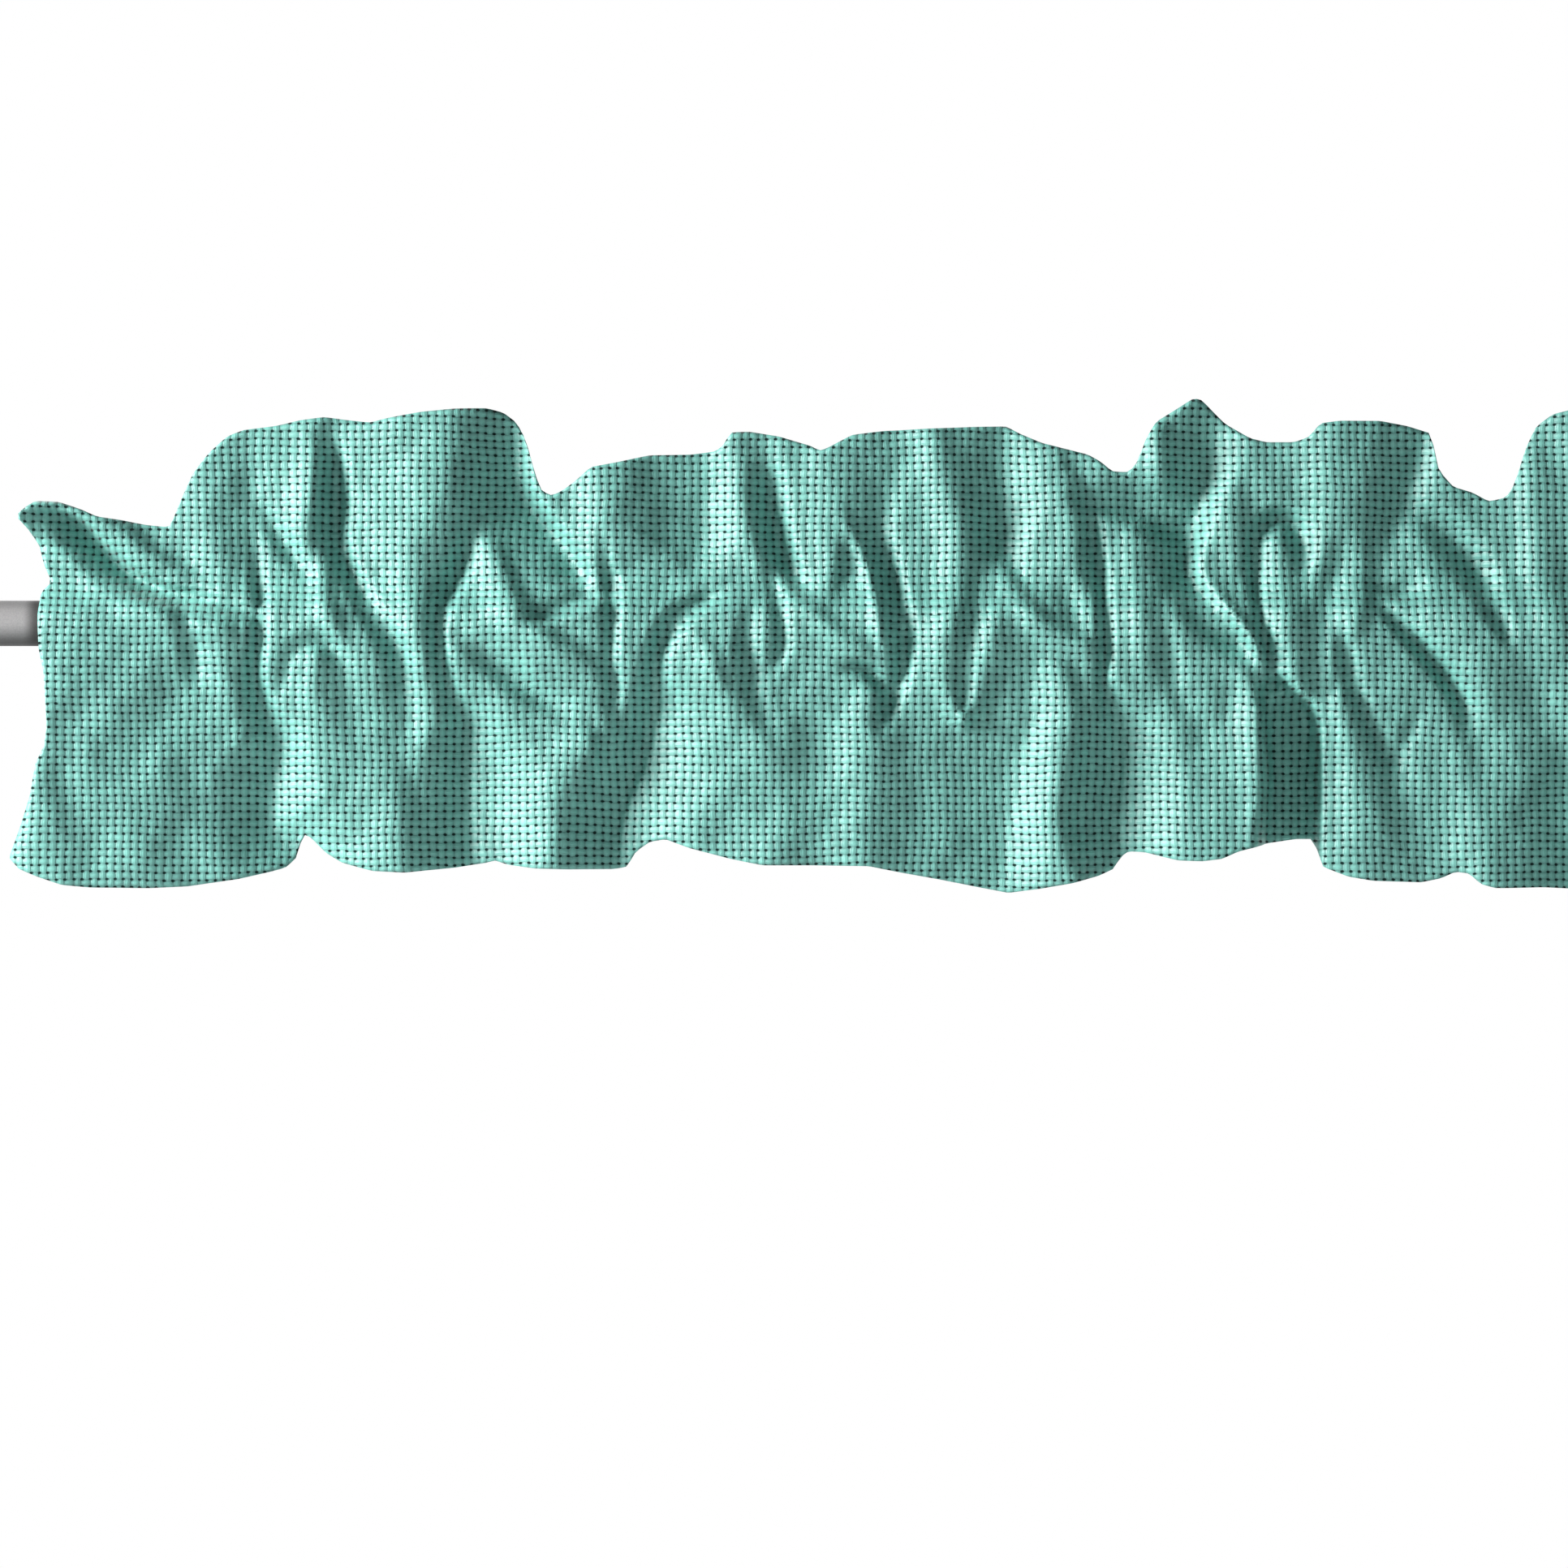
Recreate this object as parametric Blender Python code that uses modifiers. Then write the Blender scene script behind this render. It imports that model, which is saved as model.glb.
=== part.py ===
# Gathered window valance hanging on a round curtain rod.
# The valance is one length of cloth: a ruffled header folded double, a sewn pocket that the rod
# runs through, and a skirt down to the hem. The rod is a plain round bar.
# Sizes are in millimetres. Along is measured from left to right, height from the axis of the rod,
# and out towards the room, which is -Y. The row's origin is on the rod's axis at its mid-length.
import bpy
import numpy as np

MM = 0.001

ROD_DIAMETER = 28.0
ROD_START = -30.0
ROD_END = 1130.0
ROD_SIDES = 48
ROD_EDGE = 1.2
MIDDLE = 550.0

CLOTH_START = 7.5
CLOTH_END = 1092.0
SHEET = 1.7
HEADER_THICKNESS = 3.4
POCKET_RADIUS = 15.6
ROD_GAP = 0.5
HEADER_SEAM = 20.0
POCKET_SEAM = -62.0
POCKET_FULLNESS = 5.0
COLUMNS = 90
END_BLEND = 62.0

# Rows of the cloth: shares of the way up the header, heights in the pocket, shares down the skirt.
HEADER_ROWS = (0.13, 0.28, 0.45, 0.64, 0.83, 1.0)
POCKET_ROWS = (12.0, 7.0, 0.0, -8.0, -16.0, -27.0, -38.0, -50.0)
SKIRT_ROWS = (0.14, 0.3, 0.47, 0.64, 0.82, 1.0)

# How much deeper the folds are than their tables' heights.
SKIRT_DEPTH = 1.45
POCKET_DEPTH = 1.6
HEADER_DEPTH = 1.4

# Mean stand of the front of the cloth from the rod's axis, by height.
STAND = [
    # height, out
    (140, 5.0),
    (60, 6.0),
    (30, 9.0),
    (20, 13.5),
    (8, 22.5),
    (-6, 25.0),
    (-20, 24.0),
    (-40, 20.5),
    (-62, 17.0),
    (-90, 14.5),
    (-170, 12.0),
]

# The cloth's left end, from the flap of the header down to the hem.
LEFT_END = [
    # height, along
    (75, 7.5),
    (67, 10),
    (58, 18),
    (48, 25),
    (36, 28),
    (25, 32.5),
    (19, 26.5),
    (5, 25),
    (-16, 26),
    (-30, 29),
    (-64, 31),
    (-76, 29),
    (-86, 24),
    (-106, 20.5),
    (-123, 15),
    (-143, 7.5),
]

# The right end is cut off in the photograph and is finished plainly.
RIGHT_END = [
    # height, along
    (110, 1092),
    (60, 1088),
    (20, 1080),
    (-30, 1080),
    (-70, 1083),
    (-120, 1089),
    (-160, 1092),
]

# Top edge of the ruffled header.
HEADER_EDGE = [
    # along, height
    (7, 63),
    (11, 68),
    (24, 75),
    (38, 74),
    (60, 65),
    (90, 60),
    (107, 60),
    (114, 79),
    (129, 105),
    (150, 119),
    (200, 127),
    (228, 123),
    (260, 130),
    (300, 132),
    (318, 124),
    (328, 98),
    (334, 81),
    (341, 78),
    (355, 88),
    (380, 99),
    (440, 106),
    (450, 117),
    (465, 118),
    (500, 109),
    (508, 107),
    (545, 118),
    (620, 121),
    (642, 111),
    (678, 100),
    (688, 93),
    (696, 94),
    (706, 114),
    (735, 138),
    (748, 130),
    (770, 114),
    (800, 112),
    (814, 123),
    (850, 124),
    (882, 117),
    (886, 95),
    (896, 84),
    (916, 76),
    (930, 80),
    (938, 105),
    (955, 127),
    (985, 131),
    (1020, 124),
    (1050, 118),
    (1074, 112),
    (1086, 102),
    (1092, 96),
]

# Lower edge of the skirt.
HEM_EDGE = [
    # along, height
    (7, -143),
    (14, -151),
    (26, -156),
    (50, -161),
    (94, -163),
    (148, -157),
    (176, -151),
    (183, -145),
    (188, -131),
    (193, -134),
    (201, -142),
    (230, -152),
    (250, -154),
    (300, -148),
    (306, -146),
    (330, -151),
    (378, -151),
    (387, -149),
    (393, -139),
    (402, -134),
    (425, -139),
    (470, -149),
    (540, -149),
    (580, -158),
    (622, -166),
    (660, -160),
    (687, -151),
    (691, -143),
    (706, -141),
    (740, -147),
    (780, -136),
    (808, -133),
    (813, -144),
    (818, -151),
    (845, -158),
    (888, -157),
    (900, -153),
    (912, -161),
    (950, -163),
    (1000, -160),
    (1036, -156),
    (1070, -159),
    (1092, -154),
]

# Folds of the skirt. Each follows a line of (along, height) points; before and after are its widths
# to the left and right of the line, out its height towards the room, and the fades its soft ends.
SKIRT_FOLDS = [
    # name, line, before, after, out, first fade, last fade
    ("left panel crown", [(17, -41), (20, -176)], 35, 150, 15, 30, 0),
    ("left panel lift", [(95, -56), (108, -116), (117, -176)], 55, 55, 3, 30, 0),
    ("first valley", [(161, -41), (167, -81), (172, -116), (191, -176)], 24, 11, -8, 25, 0),
    ("second ridge", [(197, -11), (194, -51), (220, -96), (252, -176)], 30, 45, 10, 10, 0),
    ("second ridge shoulder", [(252, -61), (254, -116), (252, -176)], 35, 31, 6, 30, 0),
    ("second valley", [(278, -41), (287, -76), (291, -116), (298, -176)], 26, 12, -8, 20, 0),
    ("third ridge", [(367, -46), (352, -86), (340, -121), (340, -176)], 60, 25, 11, 30, 0),
    ("deep valley", [(388, -41), (384, -76), (375, -106), (372, -176)], 30, 23, -16, 20, 0),
    ("fourth ridge", [(450, -16), (467, -66), (472, -116), (472, -176)], 62, 44, 10, 30, 0),
    ("fifth ridge", [(534, -41), (535, -91), (533, -176)], 42, 13, 9, 15, 0),
    ("broad flat", [(550, -46), (555, -176)], 22, 85, 4, 15, 0),
    ("third valley", [(620, -41), (628, -91), (631, -176)], 34, 15, -6, 30, 0),
    ("sixth ridge", [(665, -41), (653, -76), (649, -121), (650, -176)], 26, 24, 10, 20, 0),
    ("fourth valley", [(681, -41), (681, -81), (680, -121), (689, -176)], 20, 12, -12, 15, 0),
    ("seventh ridge", [(727, -31), (732, -91), (735, -176)], 44, 50, 8, 25, 0),
    ("eighth ridge", [(771, -46), (771, -96), (766, -176)], 38, 11, 12, 15, 0),
    ("deep recess", [(798, -35), (797, -91), (795, -176)], 26, 22, -24, 13, 0),
    ("ninth ridge", [(822, -41), (828, -81), (840, -121), (850, -176)], 12, 31, 9, 25, 0),
    ("ninth valley", [(850, -51), (867, -96), (875, -176)], 26, 18, -6, 25, 0),
    ("tenth ridge", [(884, -41), (900, -86), (917, -126), (925, -176)], 25, 35, 9, 25, 0),
    ("tenth valley", [(925, -41), (950, -91), (972, -176)], 40, 22, -6, 30, 0),
    ("eleventh ridge", [(1000, -41), (1003, -176)], 34, 30, 8, 25, 0),
    ("last valley", [(1036, -41), (1034, -176)], 26, 16, -6, 25, 0),
    ("right panel crown", [(1076, -41), (1080, -176)], 40, 34, 9, 30, 0),
]

# Creases and puffs of the gathered pocket, in the same columns.
POCKET_FOLDS = [
    # name, line, before, after, out, first fade, last fade
    ("end panel puff", [(30, 4), (100, -4)], 30, 18, 3, 15, 20),
    ("first crease", [(161, 22), (165, -6), (160, -56)], 20, 9, -7, 10, 12),
    ("first puff", [(194, 40), (192, 6)], 24, 24, 5, 10, 12),
    ("second crease", [(212, 48), (225, 19), (241, -16), (238, -41)], 20, 11, -7, 8, 16),
    ("second puff", [(252, 50), (254, 4), (262, -41)], 18, 16, 5, 15, 8),
    ("third crease", [(287, 54), (274, 16), (269, -9), (276, -46)], 20, 11, -7, 12, 8),
    ("oval puff", [(306, 40), (306, 8)], 26, 32, 7, 8, 12),
    ("fourth crease", [(373, 54), (377, 24), (379, -6), (375, -50)], 22, 10, -9, 12, 12),
    ("triangle puff", [(396, 44), (395, 4)], 22, 30, 5, 12, 15),
    ("fifth crease", [(446, 23), (425, 10), (406, -15), (400, -50)], 12, 18, -8, 10, 8),
    ("broad puff", [(445, 4), (435, -41)], 30, 26, 5, 12, 30),
    ("sixth crease", [(467, 54), (479, 34), (500, 12)], 11, 16, -7, 6, 10),
    ("lobe edge", [(461, 14), (457, -18), (462, -51), (480, -72)], 11, 14, -5, 10, 10),
    ("seventh crease", [(538, 54), (554, 12), (556, -16), (541, -61)], 18, 13, -9, 10, 8),
    ("hook ridge", [(586, 58), (580, 19), (570, -16), (575, -50)], 20, 22, 9, 12, 6),
    ("hook hollow", [(606, 22), (594, -16), (590, -41)], 12, 12, -5, 6, 8),
    ("hook right ridge", [(617, 10), (606, -21), (600, -48)], 10, 12, 6, 8, 6),
    ("cross ridge", [(616, 35), (634, 10), (672, -17)], 14, 14, 5, 6, 10),
    ("eighth crease", [(677, 62), (682, 24), (681, -21), (677, -52)], 20, 10, -9, 12, 8),
    ("column puff", [(700, 44), (696, -16)], 18, 22, 6, 10, 14),
    ("ninth crease", [(726, 39), (735, 15), (766, -20)], 12, 17, -8, 6, 10),
    ("tenth crease", [(770, 60), (773, 30), (781, -22)], 14, 8, -7, 8, 8),
    ("tall puff", [(791, 54), (789, 4), (794, -36)], 16, 18, 9, 10, 5),
    ("side ridge", [(831, 39), (820, -16), (820, -41)], 12, 14, 5, 10, 10),
    ("eleventh crease", [(826, -4), (835, -31), (851, -77)], 12, 14, -6, 8, 10),
    ("twelfth crease", [(849, 14), (876, -16), (900, -41), (914, -78)], 10, 14, -7, 8, 12),
    ("great puff", [(872, 12), (900, -16)], 20, 30, 7, 12, 15),
    ("thirteenth crease", [(929, 39), (925, 14), (921, -7)], 14, 9, -6, 8, 8),
    ("end puff", [(950, 44), (952, -11)], 20, 25, 6, 15, 15),
    ("fourteenth crease", [(1012, 30), (1016, -50)], 20, 16, -6, 12, 12),
    ("last puff", [(1046, 20), (1044, -40)], 24, 24, 5, 12, 14),
]

# Waves of the ruffled header, in the same columns.
HEADER_FOLDS = [
    # name, line, before, after, out, first fade, last fade
    ("flap crown", [(10, 84), (55, 64), (107, 39)], 26, 30, 6, 0, 10),
    ("flap crease", [(20, 56), (59, 41), (95, 22), (155, 8)], 20, 20, -8, 6, 12),
    ("first puff", [(131, 149), (125, 84), (131, 26)], 26, 18, 8, 0, 8),
    ("first trough", [(146, 144), (148, 84), (156, 49), (153, 16)], 14, 12, -5, 0, 10),
    ("second puff", [(181, 149), (182, 84), (188, 39)], 22, 16, 7, 0, 9),
    ("second trough", [(205, 144), (205, 84), (201, 59), (212, 39)], 16, 13, -10, 0, 10),
    ("third puff", [(250, 149), (247, 94), (250, 44)], 35, 31, 8, 0, 20),
    ("third trough", [(303, 149), (303, 104), (295, 59)], 30, 14, -8, 0, 15),
    ("rim", [(325, 114), (325, 74)], 10, 14, 6, 0, 6),
    ("under the rim", [(305, 72), (332, 48), (350, 24)], 18, 18, -8, 10, 10),
    ("fourth puff", [(350, 104), (361, 64), (369, 29)], 19, 12, 7, 0, 7),
    ("flat hollow", [(400, 134), (402, 44)], 32, 40, -3, 0, 15),
    ("fifth puff", [(446, 144), (445, 84), (442, 54)], 19, 14, 7, 0, 15),
    ("fourth trough", [(467, 124), (466, 64), (478, 36)], 14, 19, -10, 7, 8),
    ("sixth puff", [(506, 104), (506, 54)], 21, 18, 7, 0, 12),
    ("flat after the puff", [(541, 144), (544, 64)], 20, 13, -4, 0, 12),
    ("narrow ridge", [(559, 144), (571, 89), (586, 54)], 16, 14, 8, 0, 5),
    ("fifth trough", [(611, 149), (610, 64), (602, 14)], 28, 14, -10, 0, 10),
    ("seventh puff", [(640, 84), (639, 39)], 21, 25, 8, 12, 9),
    ("under the notch", [(679, 84), (700, 76), (725, 64)], 13, 13, -7, 8, 8),
    ("peak rim", [(706, 134), (700, 91)], 10, 16, 7, 0, 7),
    ("sixth trough", [(733, 149), (731, 84), (727, 34)], 24, 16, -11, 0, 8),
    ("eighth puff", [(762, 134), (757, 64)], 21, 21, 4, 0, 15),
    ("bright band", [(796, 139), (802, 84), (811, 44)], 18, 14, 9, 0, 7),
    ("seventh trough", [(871, 134), (858, 84), (847, 31)], 24, 13, -9, 0, 9),
    ("corner rim", [(885, 139), (882, 94)], 10, 14, 7, 0, 9),
    ("eighth trough", [(876, 59), (894, 44), (903, 14)], 12, 16, -7, 10, 9),
    ("ninth puff", [(929, 104), (930, 34)], 14, 14, 7, 0, 10),
    ("tenth puff", [(948, 149), (950, 84)], 14, 18, 6, 0, 15),
    ("ninth trough", [(986, 149), (988, 44)], 22, 18, -7, 0, 12),
    ("last puff", [(1030, 149), (1026, 50)], 28, 26, 6, 0, 12),
    ("end trough", [(1066, 149), (1068, 44)], 20, 16, -5, 0, 12),
]


def smooth(share):
    share = np.clip(share, 0.0, 1.0)
    return share * share * (3.0 - 2.0 * share)


def softMaximum(first, second, blend):
    spread = np.clip(0.5 + 0.5 * (first - second) / blend, 0.0, 1.0)
    return second + (first - second) * spread + blend * spread * (1.0 - spread)


def curve(points, steps=6):
    """Points of a smooth line through the given ones."""
    given = np.array(points, float)
    if len(given) == 2:
        return given
    ends = np.vstack([2 * given[0] - given[1], given, 2 * given[-1] - given[-2]])
    line = []
    for index in range(1, len(ends) - 2):
        share = np.linspace(0, 1, steps, endpoint=False)[:, None]
        a, b, c, d = ends[index - 1], ends[index], ends[index + 1], ends[index + 2]
        line.append(0.5 * (2 * b + (c - a) * share + (2 * a - 5 * b + 4 * c - d) * share ** 2
                           + (3 * b - a - 3 * c + d) * share ** 3))
    return np.vstack(line + [given[-1:]])


def foldHeight(along, height, fold):
    """How far one fold of a table lifts the cloth at each point."""
    name, line, before, after, out, firstFade, lastFade = fold
    nearest = np.full(along.shape, 1e9)
    side = np.zeros(along.shape)
    run = np.zeros(along.shape)
    length = 0.0
    points = curve(line)
    for start, stop in zip(points[:-1], points[1:]):
        step = stop - start
        size = float(np.hypot(*step))
        share = ((along - start[0]) * step[0] + (height - start[1]) * step[1]) / size ** 2
        share = np.clip(share, 0, 1)
        distance = np.hypot(along - start[0] - share * step[0], height - start[1] - share * step[1])
        turn = step[0] * (height - start[1]) - step[1] * (along - start[0])
        closer = distance < nearest
        nearest = np.where(closer, distance, nearest)
        side = np.where(closer, turn, side)
        run = np.where(closer, length + share * size, run)
        length += size
    reach = np.where(side >= 0, after, before)
    lift = 0.5 * (1 + np.cos(np.pi * np.clip(nearest / reach, 0, 1)))
    if firstFade:
        lift = lift * smooth(run / firstFade)
    if lastFade:
        lift = lift * smooth((length - run) / lastFade)
    return out * lift


def relief(along, height):
    total = np.zeros(along.shape)
    tables = ((SKIRT_FOLDS, SKIRT_DEPTH), (POCKET_FOLDS, POCKET_DEPTH), (HEADER_FOLDS, HEADER_DEPTH))
    for table, depth in tables:
        for fold in table:
            total = total + depth * foldHeight(along, height, fold)
    return total


def lookUp(table, value):
    rows = sorted(table)
    return np.interp(value, [row[0] for row in rows], [row[1] for row in rows])


def endShift(along, height):
    """Moves the stations near each end of the cloth so that its ends follow their tables."""
    left = (lookUp(LEFT_END, height) - CLOTH_START) * np.clip(1 - (along - CLOTH_START) / END_BLEND, 0, 1)
    right = (lookUp(RIGHT_END, height) - CLOTH_END) * np.clip(1 - (CLOTH_END - along) / END_BLEND, 0, 1)
    return along + left + right


def rodGuard(height, radius):
    """Half depth of the space kept round the rod at a height."""
    return np.sqrt(np.clip(radius ** 2 - height ** 2, 0.0, None))


def restOnRod(ridge):
    """Depth behind the axis, at the pocket's first row, of a cloth that leans on the rod's top."""
    reach = 0.5 * ROD_DIAMETER + ROD_GAP
    turn = np.arctan2(HEADER_SEAM, ridge) - np.arccos(reach / np.hypot(ridge, HEADER_SEAM))
    depth = np.pad((reach - POCKET_ROWS[0] * np.sin(turn)) / np.cos(turn), 1, mode="edge")
    return np.maximum(depth[1:-1], np.maximum(depth[:-2], depth[2:]))


def frontStand(along, height):
    """Distance of the cloth's front from the rod's axis, towards the room."""
    stand = lookUp(STAND, height) + relief(along, height)
    near = smooth((HEADER_SEAM + 4.0 - height) / 8.0) * smooth((height + 34.0) / 14.0)
    guard = rodGuard(height, POCKET_RADIUS) + SHEET * 1.25
    guard = np.where(near > 0, guard * near + (1 - near) * -60.0, -60.0)
    return softMaximum(stand, guard, 3.0)


def columnStations():
    """Stations along the cloth, closer together where its edges or folds turn quickly."""
    fine = np.linspace(CLOTH_START, CLOTH_END, 1085)
    change = np.full(fine.shape, 1.0)
    change += 0.35 * np.abs(np.gradient(lookUp(HEADER_EDGE, fine), fine))
    change += 0.35 * np.abs(np.gradient(lookUp(HEM_EDGE, fine), fine))
    for height in (-130.0, -80.0, -20.0, 60.0):
        change += 0.35 * np.abs(np.gradient(frontStand(fine, np.full(fine.shape, height)), fine))
    change = np.convolve(np.pad(change, 6, mode="edge"), np.ones(13) / 13, mode="valid")
    total = np.concatenate([[0.0], np.cumsum(0.5 * (change[1:] + change[:-1]))])
    return np.interp(np.linspace(0, total[-1], COLUMNS), total, fine)


def clothRows(top, hem):
    """Heights of the rows at one station, from the header's edge down to the hem."""
    header = [HEADER_SEAM + share * (top - HEADER_SEAM) for share in reversed(HEADER_ROWS)]
    skirt = [POCKET_SEAM + share * (hem - POCKET_SEAM) for share in SKIRT_ROWS]
    return header + [HEADER_SEAM] + list(POCKET_ROWS) + [POCKET_SEAM] + skirt


def buildValance(collection):
    stations = columnStations()
    tops = lookUp(HEADER_EDGE, stations)
    hems = lookUp(HEM_EDGE, stations)
    heights = np.array([clothRows(top, hem) for top, hem in zip(tops, hems)])
    along = endShift(np.repeat(stations[:, None], heights.shape[1], axis=1), heights)
    seamTop = len(HEADER_ROWS)
    seamLow = seamTop + len(POCKET_ROWS) + 1
    front = frontStand(along, heights)
    step = 1.5
    slopeAlong = (frontStand(along + step, heights) - frontStand(along - step, heights)) / (2 * step)
    slopeUp = (frontStand(along, heights + step) - frontStand(along, heights - step)) / (2 * step)
    steep = np.clip(np.sqrt(1 + slopeAlong ** 2 + slopeUp ** 2), 1.0, 2.2)
    depth = np.full(front.shape, SHEET)
    depth[:, :seamTop + 1] = HEADER_THICKNESS
    depth[:, seamTop] = HEADER_THICKNESS * 1.15
    depth[:, seamLow] = HEADER_THICKNESS
    depth[:, 0] = HEADER_THICKNESS * 0.55
    back = front - depth * steep
    pocket = slice(seamTop + 1, seamLow)
    innerFront = front[:, pocket] - SHEET * steep[:, pocket]
    guard = rodGuard(heights[:, pocket], POCKET_RADIUS)
    low = smooth((heights[:, pocket] - POCKET_SEAM) / (POCKET_SEAM * -1.0 - 14.0))
    seamBack = back[:, seamLow][:, None] + 1.0
    fullness = POCKET_FULLNESS + 0.3 * np.clip(relief(along[:, pocket], heights[:, pocket]), -8, 12)
    hang = -(POCKET_RADIUS + 0.5 * fullness) * low + np.minimum(seamBack, innerFront - 1.0) * (1 - low)
    innerBack = np.minimum(hang, innerFront - 1.2)
    wrap = -guard - 0.35 * fullness
    innerBack = np.where(heights[:, pocket] > 0, wrap, np.minimum(innerBack, -guard - 0.4))
    middle = 0.5 * (front + back)
    innerBack[:, 0] = -restOnRod(-middle[:, seamTop])
    back[:, pocket] = innerBack - SHEET * 1.1
    middle = 0.5 * (front + back)

    vertices = []
    faces = []
    count, rows = heights.shape

    def addLayer(depths, picked):
        first = len(vertices)
        for column in range(count):
            for row in picked:
                vertices.append(((along[column, row] - MIDDLE) * MM, -depths[column, row] * MM,
                                 heights[column, row] * MM))
        return first

    def strip(first, width, flip):
        for column in range(count - 1):
            for row in range(width - 1):
                a = first + column * width + row
                quad = (a, a + 1, a + width + 1, a + width)
                faces.append(quad if flip else quad[::-1])

    frontAt = addLayer(front, range(rows))
    backAt = addLayer(back, range(rows))
    strip(frontAt, rows, True)
    strip(backAt, rows, False)
    for row in (0, rows - 1):
        for column in range(count - 1):
            a, b = frontAt + column * rows + row, backAt + column * rows + row
            quad = (a, b, b + rows, a + rows)
            faces.append(quad[::-1] if row == 0 else quad)

    inner = np.zeros(front.shape)
    inner[:, pocket] = innerFront
    inner[:, seamTop] = middle[:, seamTop]
    inner[:, seamLow] = middle[:, seamLow]
    width = seamLow - seamTop + 1
    inFrontAt = addLayer(inner, range(seamTop, seamLow + 1))
    inner[:, pocket] = innerBack
    inBackAt = addLayer(inner, range(seamTop + 1, seamLow))

    def inBack(column, row):
        if row in (0, width - 1):
            return inFrontAt + column * width + row
        return inBackAt + column * (width - 2) + row - 1

    strip(inFrontAt, width, False)
    for column in range(count - 1):
        for row in range(width - 1):
            faces.append((inBack(column, row), inBack(column, row + 1), inBack(column + 1, row + 1),
                          inBack(column + 1, row)))

    for column, flip in ((0, False), (count - 1, True)):
        f, b = frontAt + column * rows, backAt + column * rows
        ends = []
        for row in range(rows - 1):
            if seamTop <= row < seamLow:
                n = row - seamTop
                g = inFrontAt + column * width + n
                ends.append((f + row, g, g + 1, f + row + 1))
                ends.append((inBack(column, n), b + row, b + row + 1, inBack(column, n + 1)))
            elif row == seamTop - 1:
                ends.append((f + row, b + row, b + row + 1, inFrontAt + column * width, f + row + 1))
            elif row == seamLow:
                ends.append((f + row, inFrontAt + column * width + width - 1, b + row, b + row + 1,
                             f + row + 1))
            else:
                ends.append((f + row, b + row, b + row + 1, f + row + 1))
        faces.extend(face[::-1] if flip else face for face in ends)

    mesh = bpy.data.meshes.new("valance")
    mesh.from_pydata(vertices, [], faces)
    mesh.validate()
    mesh.update()
    cloth = bpy.data.objects.new("valance", mesh)
    collection.objects.link(cloth)
    mesh.shade_smooth()
    return cloth


def buildRod(collection):
    bpy.ops.mesh.primitive_cylinder_add(vertices=ROD_SIDES, radius=0.5 * ROD_DIAMETER * MM,
                                        depth=(ROD_END - ROD_START) * MM)
    rod = bpy.context.object
    rod.name = "rod"
    rod.data.name = "rod"
    rod.rotation_euler = (0, np.pi / 2, 0)
    bpy.ops.object.transform_apply(location=False, rotation=True, scale=True)
    bpy.ops.object.shade_smooth_by_angle(angle=0.6)
    bevel = rod.modifiers.new("end edges", "BEVEL")
    bevel.width = ROD_EDGE * MM
    bevel.segments = 2
    bevel.limit_method = "ANGLE"
    bevel.angle_limit = 1.0
    for holder in list(rod.users_collection):
        holder.objects.unlink(rod)
    collection.objects.link(rod)
    return rod


def material(name, colour, roughness, metallic):
    made = bpy.data.materials.new(name)
    made.use_nodes = True
    shader = made.node_tree.nodes["Principled BSDF"]
    shader.inputs["Base Color"].default_value = (*colour, 1.0)
    shader.inputs["Roughness"].default_value = roughness
    shader.inputs["Metallic"].default_value = metallic
    return made


def main():
    for item in list(bpy.data.objects):
        bpy.data.objects.remove(item, do_unlink=True)
    collection = bpy.data.collections.new("Window valance")
    bpy.context.scene.collection.children.link(collection)
    rod = buildRod(collection)
    cloth = buildValance(collection)
    cloth.data.materials.append(material("cloth", (0.19, 0.46, 0.40), 0.85, 0.0))
    rod.data.materials.append(material("rod_metal", (0.40, 0.40, 0.41), 0.38, 1.0))


main()
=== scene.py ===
import math
from functools import partial

import bpy
import numpy as np
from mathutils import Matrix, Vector


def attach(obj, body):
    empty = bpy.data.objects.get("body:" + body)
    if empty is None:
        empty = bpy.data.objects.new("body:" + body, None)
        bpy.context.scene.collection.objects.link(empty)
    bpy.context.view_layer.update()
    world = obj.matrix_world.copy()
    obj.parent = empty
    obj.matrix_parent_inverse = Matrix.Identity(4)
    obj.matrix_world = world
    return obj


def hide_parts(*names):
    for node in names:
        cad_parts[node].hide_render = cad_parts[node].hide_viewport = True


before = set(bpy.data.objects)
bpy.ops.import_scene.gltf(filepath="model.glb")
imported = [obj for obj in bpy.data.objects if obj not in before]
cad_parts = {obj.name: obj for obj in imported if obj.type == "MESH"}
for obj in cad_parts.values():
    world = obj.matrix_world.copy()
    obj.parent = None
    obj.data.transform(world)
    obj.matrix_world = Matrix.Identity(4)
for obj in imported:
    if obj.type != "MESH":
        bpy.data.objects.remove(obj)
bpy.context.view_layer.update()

mm = 0.001
rodMiddle = 550.0  # along every table, in mm from the left, the rod's middle is here


def smoothStep(share):
    share = np.clip(share, 0.0, 1.0)
    return share * share * (3.0 - 2.0 * share)


def roundedMaximum(first, second, blend):
    spread = np.clip(0.5 + 0.5 * (first - second) / blend, 0.0, 1.0)
    return second + (first - second) * spread + blend * spread * (1.0 - spread)


def readTable(table, value):
    rows = sorted(table)
    return np.interp(value, [row[0] for row in rows], [row[1] for row in rows])


def softenedEdge(table, start, end, reach):
    # the table's edge as a closely spaced line with its corners eased over reach
    step, margin = 0.5, 20.0
    fine = np.arange(start - margin, end + margin, step)
    width = int(reach / step) | 1
    window = np.hanning(width + 2)[1:-1]
    padded = np.pad(readTable(table, fine), width // 2, mode="edge")
    return fine, np.convolve(padded, window / window.sum(), mode="valid")


def plug(tree, socket, value):
    if isinstance(value, bpy.types.NodeSocket):
        tree.links.new(value, socket)
    else:
        socket.default_value = value


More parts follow.
